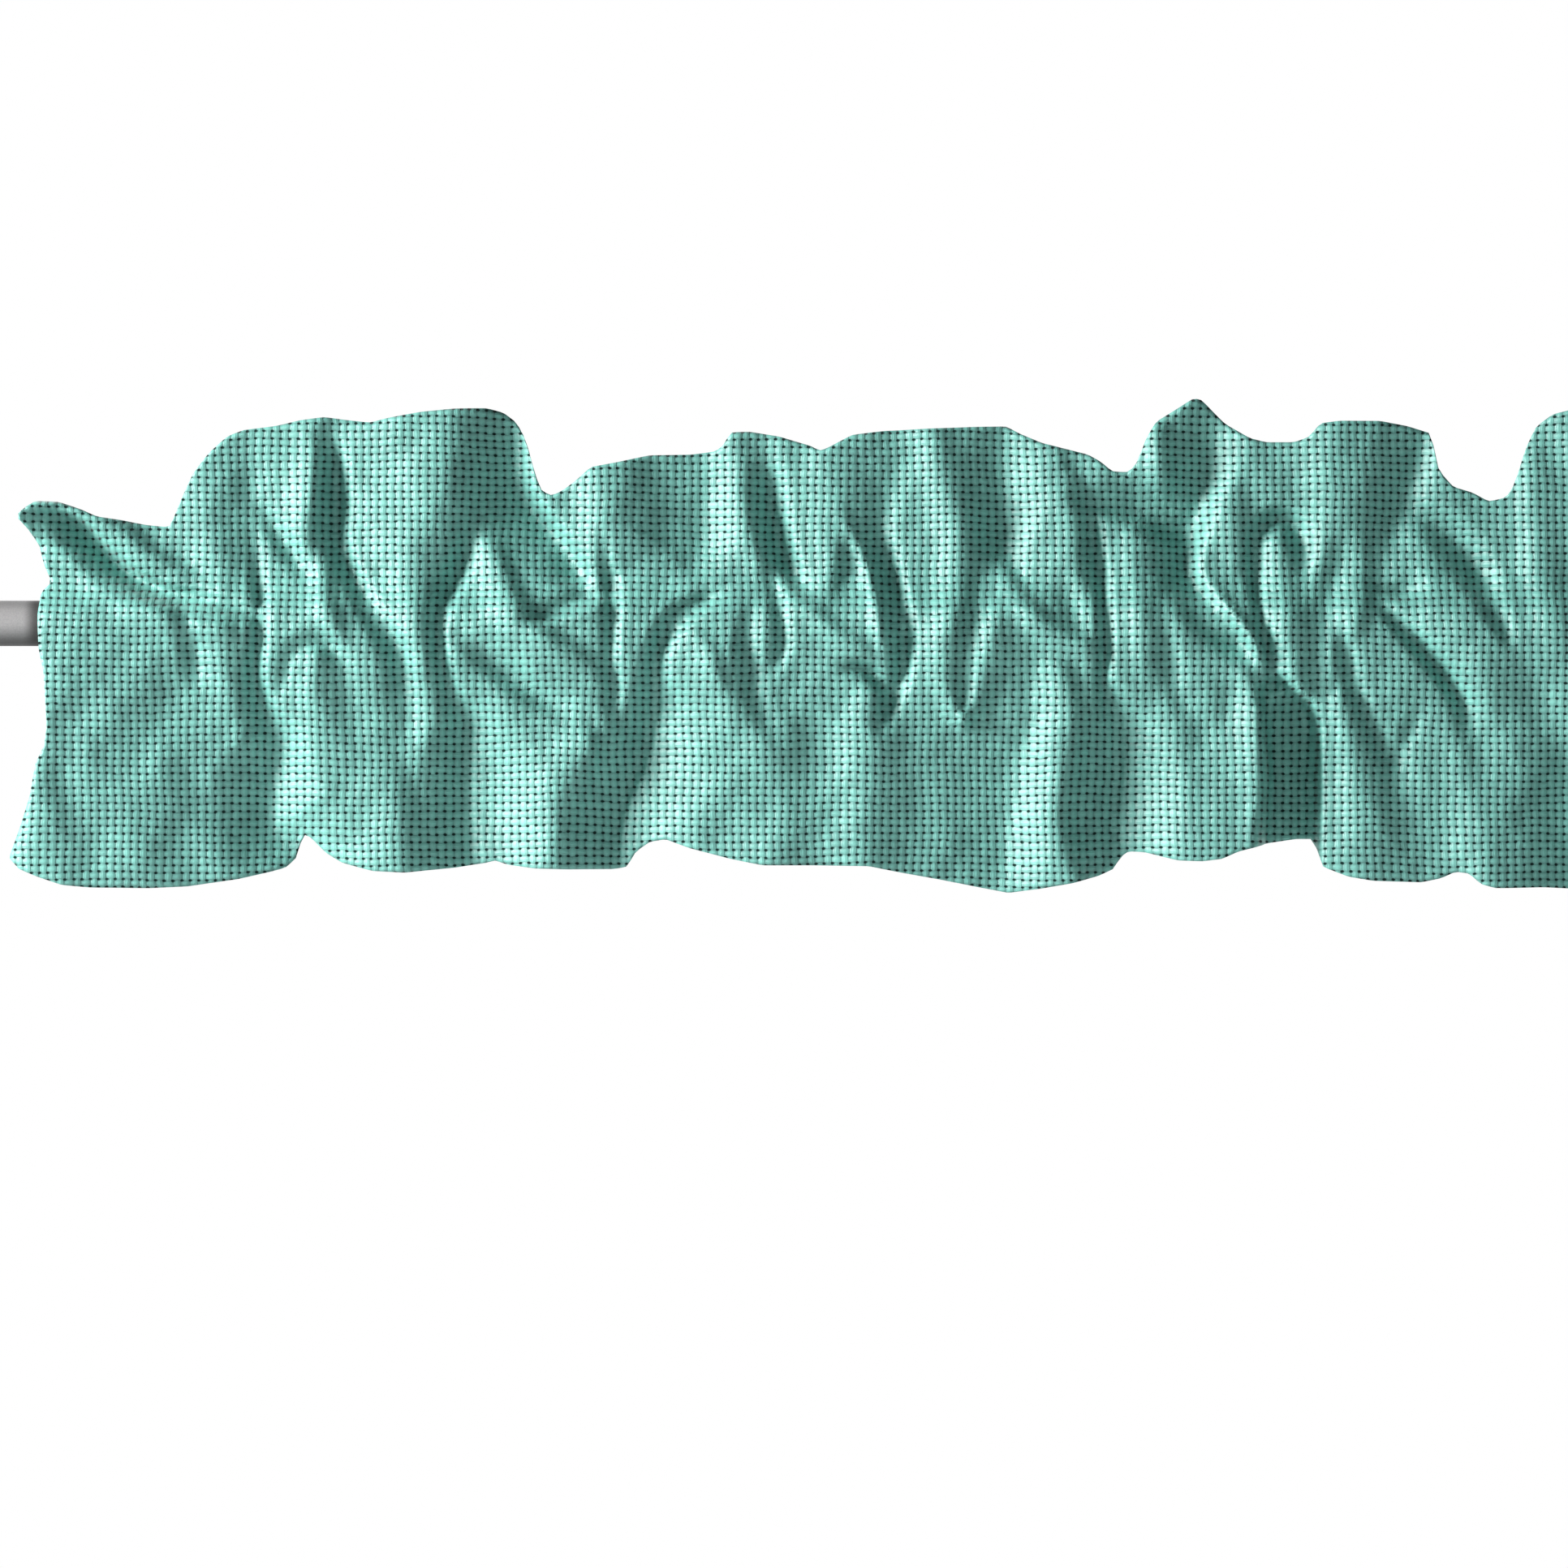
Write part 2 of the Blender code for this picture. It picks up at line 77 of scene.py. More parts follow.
def compute(tree, operation, *values):
    node = tree.nodes.new("ShaderNodeMath")
    node.operation = operation
    for socket, value in zip(node.inputs, values):
        plug(tree, socket, value)
    return node.outputs[0]


def ramp(tree, value, start, end, low=0.0, high=1.0, shape="SMOOTHSTEP"):
    node = tree.nodes.new("ShaderNodeMapRange")
    node.interpolation_type = shape
    sockets = ("Value", "From Min", "From Max", "To Min", "To Max")
    for socket, number in zip(sockets, (value, start, end, low, high)):
        plug(tree, node.inputs[socket], number)
    return node.outputs[0]


def noise(tree, place, scale, detail):
    node = tree.nodes.new("ShaderNodeTexNoise")
    node.inputs["Scale"].default_value = scale
    node.inputs["Detail"].default_value = detail
    tree.links.new(place, node.inputs["Vector"])
    return node


def mixColours(tree, share, first, second):
    node = tree.nodes.new("ShaderNodeMix")
    node.data_type = "RGBA"
    for socket, value in zip(("Factor", "A", "B"), (share, first, second)):
        plug(tree, node.inputs[socket], value)
    return node.outputs["Result"]


def split(tree, vector):
    node = tree.nodes.new("ShaderNodeSeparateXYZ")
    tree.links.new(vector, node.inputs[0])
    return node.outputs


def newMaterial(name):
    material = bpy.data.materials.new(name)
    material.use_nodes = True
    tree = material.node_tree
    return material, tree, tree.nodes["Principled BSDF"].inputs


def addBump(tree, shader, height, distance):
    node = tree.nodes.new("ShaderNodeBump")
    node.inputs["Distance"].default_value = distance
    tree.links.new(height, node.inputs["Height"])
    tree.links.new(node.outputs["Normal"], shader["Normal"])


view = dict(lens=200.0, sensor=36.0, distance=5.35, centre=(-0.067, -0.02, -0.099))

studio = dict(
    aim=(-0.05, 0.0, -0.05),
    key=(-3.4, -1.3, 0.95),
    keySize=1.5,
    keyPower=333.0,
    keyColour=(1.0, 0.93, 0.93),
    fill=(2.2, -3.2, 0.4),
    fillSize=2.4,
    fillPower=3.0,
    fillColour=(1.0, 1.0, 1.0),
    band=1.0,
    above=0.085,
    bandEdge=(0.11, 0.2),
    behindEdge=(0.35, 0.8),
    floorHeight=-0.76,
    floorRadius=1.25,
    floorColour=(0.81, 0.86, 0.86),
)


def addArea(name, place, size, power, colour):
    lamp = bpy.data.lights.new(name, "AREA")
    lamp.shape = "DISK"
    lamp.size = size
    lamp.energy = power
    lamp.color = colour
    holder = bpy.data.objects.new(name, lamp)
    holder.location = place
    toAim = Vector(studio["aim"]) - Vector(place)
    holder.rotation_euler = toAim.to_track_quat("-Z", "Y").to_euler()
    bpy.context.scene.collection.objects.link(holder)


def setWalls(scene):
    world = bpy.data.worlds.new("studioWalls")
    scene.world = world
    world.use_nodes = True
    tree = world.node_tree
    place = tree.nodes.new("ShaderNodeTexCoord")
    direction = split(tree, place.outputs["Generated"])
    # white all round at eye height and dimmer above and below, so folds keep their shade
    height = compute(tree, "ABSOLUTE", direction["Z"])
    band = ramp(tree, height, *studio["bandEdge"], studio["band"], studio["above"])
    # white on the window side too, which lights the back
    behind = ramp(tree, direction["Y"], *studio["behindEdge"])
    background = tree.nodes["Background"].inputs
    background["Color"].default_value = (1.0, 1.0, 1.0, 1.0)
    tree.links.new(compute(tree, "MAXIMUM", band, behind), background["Strength"])


def setStudio():
    scene = bpy.context.scene
    scene.view_settings.view_transform = "Standard"
    scene.view_settings.look = "None"
    lens = bpy.data.cameras.new("viewCamera")
    lens.lens = view["lens"]
    lens.sensor_width = view["sensor"]
    lens.clip_end = 60.0
    camera = bpy.data.objects.new("viewCamera", lens)
    camera.location = Vector(view["centre"]) - Vector((0.0, view["distance"], 0.0))
    camera.rotation_euler = (math.radians(90), 0.0, 0.0)
    scene.collection.objects.link(camera)
    scene.camera = camera

    addArea("keyLight", studio["key"], studio["keySize"], studio["keyPower"], studio["keyColour"])
    addArea("fillLight", studio["fill"], studio["fillSize"], studio["fillPower"], studio["fillColour"])
    setWalls(scene)

    bpy.ops.mesh.primitive_circle_add(vertices=96, radius=studio["floorRadius"], fill_type="NGON",
                                      location=(0.0, 0.0, studio["floorHeight"]))
    floor = bpy.context.object
    floor.name = "studioFloor"
    bpy.ops.object.transform_apply(location=True, rotation=True, scale=True)
    paint, tree, shader = newMaterial("floorPaint")
    shader["Base Color"].default_value = (*studio["floorColour"], 1.0)
    shader["Roughness"].default_value = 0.8
    floor.data.materials.append(paint)
    print("camera, light and floor are set")


cloth = dict(
    start=7.5,
    end=1092.0,
    endBlend=62.0,
    columns=380,
    thickness=1.0,
    sheet=1.7,
    headerDepth=3.4,
    pocketRadius=15.6,
    rodRadius=14.0,
    rodGap=0.5,
    headerSeam=20.0,
    pocketSeam=-62.0,
    fullness=5.0,
    guardTop=24.0,
    guardBottom=-34.0,
    leanHeight=12.0,
    overHeight=8.0,
    backLower=1.6,
    backStand=1.8,
    steepest=2.2,
    skirtRows=34,
    pocketRows=30,
    headerRows=33,
    backHeaderRows=12,
    backPocketRows=15,
    skirtDepth=1.4,
    pocketDepth=1.1,
    headerFoldDepth=1.15,
    flatWidth=1.31,
    flatLength=0.47,
)

# mean stand of the cloth's front from the rod's axis: height, out
clothStand = [
    (140, 5.0), (60, 6.0), (30, 9.0), (20, 13.5), (8, 22.5), (-6, 25.0),
    (-20, 24.0), (-40, 20.5), (-62, 17.0), (-90, 14.5), (-170, 12.0),
]

# the left end, then the plainly finished right end: height, along
leftEnd = [
    (75, 7.5), (67, 10), (58, 18), (48, 25), (36, 28), (25, 32.5), (19, 26.5), (5, 25),
    (-16, 26), (-30, 29), (-64, 31), (-76, 29), (-86, 24), (-106, 20.5), (-123, 15), (-143, 7.5),
]
rightEnd = [
    (110, 1092), (60, 1088), (20, 1080), (-30, 1080), (-70, 1083), (-120, 1089), (-160, 1092),
]

# top edge of the ruffled header: along, height
headerEdge = [
    (7, 63), (11, 68), (23, 75), (37, 74.5), (50, 70), (60, 65.5), (75, 63.5), (90, 60.5), (105, 59),
    (110, 72), (119, 92), (129, 105), (140, 115), (150, 119), (170, 121.5), (185, 125), (200, 127),
    (215, 125), (228, 123.5), (240, 126.5), (260, 130), (280, 132), (300, 132.5), (310, 130),
    (318, 124), (324, 113), (328, 98), (333, 82), (340, 78.5), (347, 82), (355, 88), (364, 96),
    (380, 99), (400, 103.5), (425, 104), (441, 106), (446, 110), (450, 117.5), (462, 118), (480, 115),
    (500, 109), (505, 106), (510, 108), (525, 116), (545, 118.5), (600, 121), (620, 121.5),
    (628, 117), (642, 111), (670, 104), (678, 99.5), (685, 93.5), (695, 93), (700, 98), (706, 114),
    (712, 124), (725, 132), (735, 138.5), (740, 138), (747, 131), (755, 123), (770, 114), (780, 111.5),
    (797, 111.5), (806, 114.5), (813, 123), (825, 124.5), (850, 124.5), (867, 121.5), (882, 117),
    (885.5, 95), (895, 84), (907, 80.5), (917, 75), (928, 77.5), (933, 86), (939, 106), (946, 121),
    (956, 128.5), (970, 132), (990, 131), (1020, 124), (1050, 118), (1074, 112), (1086, 102), (1092, 96),
]

# lower edge of the skirt: along, height
hemEdge = [
    (7, -144), (13, -151), (25, -156), (40, -161), (57, -162.5), (93, -163), (116, -162), (147, -157.5),
    (176, -150.5), (183, -144), (185, -134), (188, -129.5), (192, -132.5), (201, -141.5), (211, -147.5),
    (230, -152.5), (250, -153.5), (280, -150.5), (300, -147.5), (305, -146), (312, -148.5), (330, -151),
    (350, -151.5), (378, -151.5), (386, -150), (391, -141), (400, -134.5), (410, -133), (425, -138.5),
    (450, -145), (470, -149), (500, -149), (535, -149.5), (555, -153.5), (580, -158), (605, -163),
    (621, -166), (640, -163.5), (660, -160), (677, -155.5), (687, -151), (690, -144), (695, -140.5),
    (705, -141), (725, -146), (740, -146.5), (752, -145), (762, -140.5), (780, -136), (800, -133),
    (811, -133), (813, -149), (817, -151), (830, -156), (845, -158.5), (875, -159.5), (887, -157),
    (896, -153), (904, -154), (911, -160.5), (920, -163), (950, -162.5), (970, -163.5), (1000, -160),
    (1036, -156), (1070, -159), (1092, -154),
]

# how the folds' sections are rounded, in mm or as shares
foldShape = dict(stepReach=6.0, stepShare=0.15, hollowEdge=0.3, sideBlend=3.0, leastWidth=1.5, blunt=2.5)

uneven = dict(waves=8, shortest=17.0, longer=6.5, height=0.0065)

# Each fold is placed along its stations: along, height, two widths, and how far it stands
# out. For a fold that runs down, the widths are on its left and right as seen from the front. For
# one that runs to the right they are below and above it.
# A crease is keen at its bottom, and a pleat is a crease whose right side rises in a small step
# first. A swell is round, and a hollow has a flat bottom and steep sides.
skirtFolds = {
    "left edge hollow": ("swell", [
        (48, -40, 14, 14, 0), (42, -90, 16, 18, -1.5), (54, -140, 18, 20, -1), (60, -176, 18, 20, 0)]),
    "left panel tilt": ("swell", [
        (26, -6, 26, 90, 2), (26, -50, 30, 106, 8), (24, -110, 30, 112, 10), (20, -176, 30, 112, 9)]),
    "left panel swell": ("swell", [
        (104, -64, 20, 20, 0), (100, -92, 26, 24, 2), (94, -124, 32, 30, 2), (84, -176, 32, 30, 1.5)]),
    "left panel dent": ("swell", [
        (120, -88, 10, 10, 0), (126, -108, 12, 12, -1), (132, -132, 12, 12, 0)]),
    "second swell": ("swell", [(236, -74, 20, 14, 1), (244, -110, 30, 16, 3), (250, -176, 30, 16, 4)]),
    "third swell": ("swell", [
        (354, -58, 30, 10, 2), (362, -76, 46, 12, 4), (356, -96, 46, 14, 4), (347, -121, 44, 16, 3.5),
        (346, -176, 44, 16, 3.5)]),
    "fourth swell": ("swell", [
        (446, -24, 20, 20, 3), (462, -60, 34, 30, 4), (476, -100, 50, 45, 3), (478, -176, 52, 46, 3)]),
    "soft trough": ("swell", [
        (500, -46, 10, 10, 0), (499, -68, 14, 14, -1), (495, -96, 16, 16, -1), (492, -130, 12, 12, 0)]),
    "fifth ridge": ("swell", [
        (535, -46, 14, 12, 3), (534, -66, 24, 26, 4), (534, -96, 30, 34, 4), (532, -126, 30, 36, 4),
        (530, -176, 30, 36, 4)]),
    "broad fall": ("crease", [
        (634, -58, 60, 12, -2), (630, -84, 84, 20, -5), (624, -116, 88, 26, -6),
        (618, -146, 84, 28, -6), (612, -176, 80, 28, -5)]),
    "sixth ridge": ("swell", [
        (652, -30, 16, 12, 3), (658, -52, 24, 14, 5), (657, -72, 30, 16, 6), (652, -96, 34, 18, 6),
        (649, -120, 36, 18, 6), (653, -140, 36, 18, 6), (664, -166, 36, 16, 5)]),
    "seventh swell": ("swell", [
        (744, -46, 34, 20, 1), (746, -90, 50, 22, 4), (746, -130, 52, 22, 5), (746, -176, 52, 22, 5)]),
    "seventh trough": ("swell", [
        (734, -50, 14, 14, -1), (740, -76, 16, 16, -2), (740, -100, 14, 14, -1), (738, -124, 9, 9, 0)]),
    "eighth ridge": ("swell", [
        (768, -34, 14, 6, 2), (774, -56, 22, 5, 6), (775, -90, 28, 5, 7), (772, -130, 30, 5, 7),
        (769, -176, 30, 5, 7)]),
    "deep recess": ("hollow", [
        (786, -44, 12, 12, -10), (793, -58, 18, 18, -18), (797, -72, 20, 17, -22),
        (798, -96, 20, 17, -23), (796, -176, 22, 18, -23)]),
    "ninth ridge": ("swell", [
        (824, -48, 9, 12, 3), (831, -76, 14, 20, 3.5), (836, -106, 18, 32, 4), (840, -140, 24, 38, 4),
        (842, -176, 24, 38, 4)]),
    "tenth ridge": ("swell", [
        (898, -62, 14, 24, 1), (906, -90, 24, 40, 3), (914, -120, 28, 50, 4), (918, -176, 30, 54, 6)]),
    "last valley but one": ("crease", [
        (958, -60, 20, 12, -1), (968, -100, 36, 14, -4), (976, -176, 42, 18, -6)]),
    "eleventh ridge": ("swell", [
        (1000, -40, 30, 26, 4), (1003, -100, 34, 30, 8), (1003, -176, 34, 30, 8)]),
    "last valley": ("crease", [
        (1036, -44, 20, 10, -3), (1034, -100, 28, 14, -8), (1034, -176, 30, 14, -8)]),
    "right panel swell": ("swell", [
        (1074, -40, 30, 30, 4), (1080, -110, 36, 34, 9), (1080, -176, 38, 34, 9)]),
}

pocketFolds = {
    "panel shoulder": ("swell", [
        (28, 40, 16, 8, 3), (54, 38, 20, 9, 5), (75, 22, 22, 9, 6), (95, 9, 22, 8, 6),
        (118, 1, 18, 7, 5), (142, -4, 10, 6, 2)]),
    "end panel swell": ("swell", [(34, 2, 24, 16, 2), (70, 4, 18, 18, 2), (104, 2, 16, 16, 1)]),
    "end panel crease": ("crease", [
        (110, 15, 6, 5, -1), (117, -3, 10, 7, -4), (121, -24, 11, 8, -4), (123, -44, 10, 8, 0)]),
    "small swell": ("swell", [
        (131, 12, 8, 10, 1), (136, -6, 12, 14, 2), (140, -30, 12, 12, 2), (142, -50, 8, 8, 0)]),
    "first crease": ("pleat", [
        (152, 124, 14, 16, -1), (155, 89, 14, 14, -2), (157, 59, 10, 9, -2), (159, 32, 6, 6, -4),
        (161, 13, 5, 6, -6), (161, -8, 7, 6, -7), (158, -31, 9, 6, -8), (163, -52, 17, 10, -10),
        (172, -73, 30, 18, -12), (169, -96, 38, 32, -14), (167, -121, 44, 40, -15),
        (174, -132, 46, 42, -15), (186, -142, 46, 42, -15), (191, -176, 44, 42, -14)]),
    "branch crease": ("crease", [(179, -18, 5, 5, 0), (175, -36, 6, 5, -2), (169, -51, 5, 4, 0)]),
    "arch": ("crease", [
        (176, -36, 4, 6, 0), (179, -22, 5, 8, -2), (187, -14, 6, 10, -4), (197, -12, 7, 10, -5),
        (206, -16, 8, 9, -5), (213, -28, 8, 9, -3), (216, -44, 8, 9, -1), (217, -56, 8, 8, 0)]),
    "arch ridge": ("swell", [
        (195, -21, 7, 9, 2), (196, -46, 16, 20, 4), (199, -76, 24, 34, 4), (206, -106, 30, 40, 3),
        (212, -136, 30, 40, 2)]),
    "tongue": ("swell", [
        (197, 42, 8, 8, 2), (201, 14, 12, 10, 5), (209, -6, 10, 8, 3), (214, -22, 6, 6, 0)]),
    "slanting dent": ("crease", [
        (160, 78, 8, 6, 0), (170, 58, 9, 6, -5), (182, 40, 8, 6, -5), (191, 25, 6, 5, 0)]),
    "second crease": ("crease", [
        (200, 128, 10, 10, 0), (202, 114, 11, 10, -3), (206, 100, 13, 10, -7), (208, 79, 14, 9, -10),
        (208, 56, 13, 8, -9), (214, 36, 10, 7, -9), (224, 17, 9, 7, -9), (236, -1, 11, 7, -9),
        (246, -18, 14, 8, -8), (249, -36, 15, 10, -6), (252, -56, 18, 12, -4), (252, -82, 18, 12, 0)]),
    "third crease": ("pleat", [
        (290, 70, 14, 14, 0), (288, 46, 12, 10, -5), (280, 23, 11, 7, -7), (271, 1, 9, 6, -7),
        (273, -24, 9, 5, -7), (280, -46, 12, 10, -8), (287, -61, 20, 30, -12), (287, -91, 30, 50, -15),
        (288, -121, 36, 54, -16), (292, -146, 40, 54, -15), (296, -176, 40, 52, -14)]),
    "fat swell": ("swell", [
        (304, 46, 14, 10, 3), (313, 22, 24, 10, 7), (324, 0, 28, 12, 7), (342, -14, 26, 12, 6),
        (362, -28, 20, 12, 4), (374, -44, 10, 8, 0)]),
    "level crease": ("crease", [
        (324, 3, 6, 5, -2), (343, 9, 8, 7, -7), (357, 14, 8, 7, -6), (372, 19, 7, 6, -2)]),
    "ridge under it": ("swell", [(330, -6, 7, 7, 1), (350, 2, 8, 8, 2), (368, 8, 7, 8, 2)]),
    "slanting trough": ("swell", [
        (284, -8, 10, 10, -2), (308, -27, 13, 12, -6), (333, -44, 14, 13, -6), (356, -58, 12, 10, -2),
        (370, -70, 8, 8, 0)]),
    "fourth crease": ("crease", [
        (371, 58, 6, 6, -1), (374, 36, 7, 6, -4), (378, 17, 8, 6, -6), (377, -6, 7, 5, -6),
        (377, -26, 7, 6, -5), (378, -46, 7, 7, -5), (380, -58, 8, 8, -3), (384, -72, 8, 8, 0)]),
    "fifth crease": ("pleat", [
        (446, 19, 6, 6, -2), (430, 11, 8, 7, -9), (416, 1, 9, 9, -11), (407, -14, 9, 9, -9),
        (404, -33, 13, 13, -10), (404, -52, 22, 32, -14), (399, -72, 30, 42, -17),
        (390, -96, 36, 48, -18), (382, -117, 40, 52, -18), (379, -142, 42, 54, -17),
        (382, -176, 42, 52, -16)]),
    "broad pocket swell": ("swell", [
        (434, -14, 20, 10, 2), (442, -34, 26, 8, 4), (450, -60, 26, 14, 2)]),
    "short crease": ("crease", [
        (474, 36, 6, 5, -1), (480, 11, 7, 5, -5), (482, -11, 7, 6, -5), (479, -23, 7, 6, -3),
        (474, -34, 6, 5, 0)]),
    "lobe": ("swell", [
        (464, 12, 8, 8, -1), (460, -8, 10, 10, -4), (461, -28, 10, 12, -5), (466, -48, 10, 12, -4),
        (475, -66, 10, 12, -2), (486, -82, 8, 10, 0)]),
    "slanting ridge": ("swell", [
        (477, 34, 6, 6, 1), (490, 18, 9, 9, 3), (505, 2, 10, 10, 3), (525, -14, 10, 10, 3),
        (543, -28, 9, 8, 1)]),
    "loop left": ("swell", [
        (510, 116, 22, 30, 3), (512, 74, 22, 30, 4), (513, 44, 18, 12, 4), (509, 16, 10, 8, 2)]),
    "loop middle": ("swell", [(519, 52, 7, 7, 0), (522, 27, 8, 8, -1), (525, 0, 7, 7, 0)]),
    "loop right": ("swell", [
        (517, 70, 6, 6, 1), (530, 46, 7, 5, 4), (538, 20, 7, 5, 5), (543, -10, 7, 5, 4),
        (547, -28, 5, 4, 0)]),
    "sixth crease": ("crease", [
        (552, 128, 16, 12, -1), (550, 90, 16, 14, -2), (543, 60, 12, 10, -5), (547, 38, 10, 8, -8),
        (554, 14, 10, 7, -9), (558, -10, 10, 7, -9), (555, -32, 10, 7, -8), (547, -50, 8, 8, -6),
        (541, -62, 5, 12, -2)]),
    "small arch": ("crease", [
        (517, -29, 3, 5, -1), (531, -28, 4, 7, -7), (540, -34, 4, 7, -7), (546, -45, 3, 5, -1)]),
    "long bright ridge": ("swell", [
        (568, 130, 16, 18, 3), (580, 94, 18, 20, 5), (589, 62, 20, 20, 5), (591, 38, 20, 20, 5),
        (587, 16, 18, 18, 5), (583, -8, 17, 17, 4.5), (583, -32, 16, 15, 4.5), (588, -53, 12, 8, 5.5),
        (594, -61, 6, 6, 4)]),
    "its right arm": ("swell", [
        (617, 18, 8, 12, 1), (612, -2, 10, 18, 3.5), (606, -26, 10, 18, 4), (600, -48, 9, 13, 5),
        (593, -60, 6, 6, 5)]),
    "between the arms": ("swell", [
        (602, 32, 8, 8, -1), (598, 4, 8, 7, -1.5), (592, -24, 6, 6, -1), (589, -42, 4, 4, 0)]),
    "cross ridge": ("swell", [
        (618, 34, 8, 8, 2), (630, 12, 14, 10, 5), (647, -5, 14, 11, 5), (667, -15, 10, 10, 4),
        (677, -19, 6, 6, 0)]),
    "side hollow": ("swell", [(654, 28, 10, 10, -1), (660, 12, 12, 10, -4), (664, -4, 10, 8, -1)]),
    "seventh crease": ("pleat", [
        (668, 84, 10, 8, -1), (675, 48, 8, 6, -5), (680, 16, 6, 5, -7), (681, -12, 5, 5, -7),
        (679, -36, 6, 6, -7), (686, -52, 16, 16, -8), (690, -68, 24, 34, -11), (688, -96, 30, 44, -14),
        (686, -120, 34, 46, -14), (687, -140, 28, 46, -13), (690, -176, 22, 44, -12)]),
    "upright swell": ("swell", [
        (696, 52, 8, 16, 2), (700, 20, 10, 18, 3.5), (702, -10, 10, 16, 3.5), (705, -36, 8, 12, 1)]),
    "oval hollow": ("swell", [
        (718, 0, 8, 8, -1), (720, -20, 10, 9, -3), (724, -42, 9, 9, -2), (731, -62, 8, 8, 0)]),
    "bright slant": ("swell", [
        (735, 36, 5, 6, 1), (750, 14, 8, 7, 5), (768, -8, 7, 7, 6), (781, -30, 5, 6, 2)]),
    "thin crease": ("crease", [
        (772, 24, 5, 4, -2), (776, 4, 6, 4, -6), (780, -16, 6, 4, -7), (784, -38, 5, 4, -2)]),
    "bright tongue": ("swell", [
        (787, 48, 9, 11, 2), (790, 14, 10, 17, 3.5), (793, -16, 10, 17, 4.5), (799, -42, 10, 12, 5)]),
    "upright oval": ("swell", [
        (824, 42, 12, 8, -1), (818, 14, 14, 9, -2.5), (813, -14, 12, 9, -2), (810, -36, 8, 8, -1)]),
    "ridge beside it": ("swell", [(838, 48, 14, 10, 2), (837, 18, 14, 10, 3.5), (834, -2, 12, 9, 2.5)]),
    "ninth crease": ("crease", [
        (824, -5, 7, 6, -2), (828, -18, 9, 7, -5), (834, -38, 8, 7, -4), (843, -61, 8, 7, -4),
        (853, -79, 9, 9, -4), (860, -92, 14, 14, -2), (868, -120, 22, 24, -1),
        (872, -150, 24, 24, -1)]),
    "its right arm below": ("crease", [
        (876, -50, 7, 6, 0), (869, -64, 8, 7, -3), (860, -84, 7, 6, -2)]),
    "tenth crease": ("crease", [
        (849, 12, 5, 5, -2), (861, -1, 6, 6, -7), (877, -18, 7, 8, -9), (891, -35, 7, 8, -9),
        (900, -50, 8, 10, -7), (905, -66, 12, 18, -3), (914, -90, 16, 24, -2), (928, -126, 20, 24, 0)]),
    "great swell": ("swell", [
        (880, 24, 16, 20, 3), (892, 12, 30, 36, 5), (904, -4, 34, 48, 6), (914, -26, 32, 50, 6),
        (920, -48, 24, 44, 4), (926, -72, 14, 30, 1)]),
    "edge under the patch": ("crease", [(850, 20, 5, 7, -3), (865, 19, 6, 9, -6), (882, 27, 6, 7, 0)]),
    "eleventh crease": ("crease", [
        (866, 74, 12, 12, -1), (884, 62, 16, 14, -6), (900, 47, 18, 16, -9), (911, 29, 16, 14, -9),
        (919, 10, 12, 12, -6), (925, -5, 7, 8, -5), (928, -14, 4, 5, -1)]),
    "bright column": ("swell", [
        (944, 96, 14, 24, 4), (946, 50, 16, 24, 5), (952, 10, 20, 26, 6), (964, -26, 32, 26, 6),
        (970, -58, 32, 26, 3)]),
    "twelfth crease": ("crease", [(1010, 40, 14, 8, -3), (1013, 6, 18, 9, -8), (1017, -50, 16, 9, -4)]),
    "last swell": ("swell", [(1046, 30, 22, 22, 3), (1044, -10, 24, 24, 6), (1046, -50, 24, 24, 3)]),
}

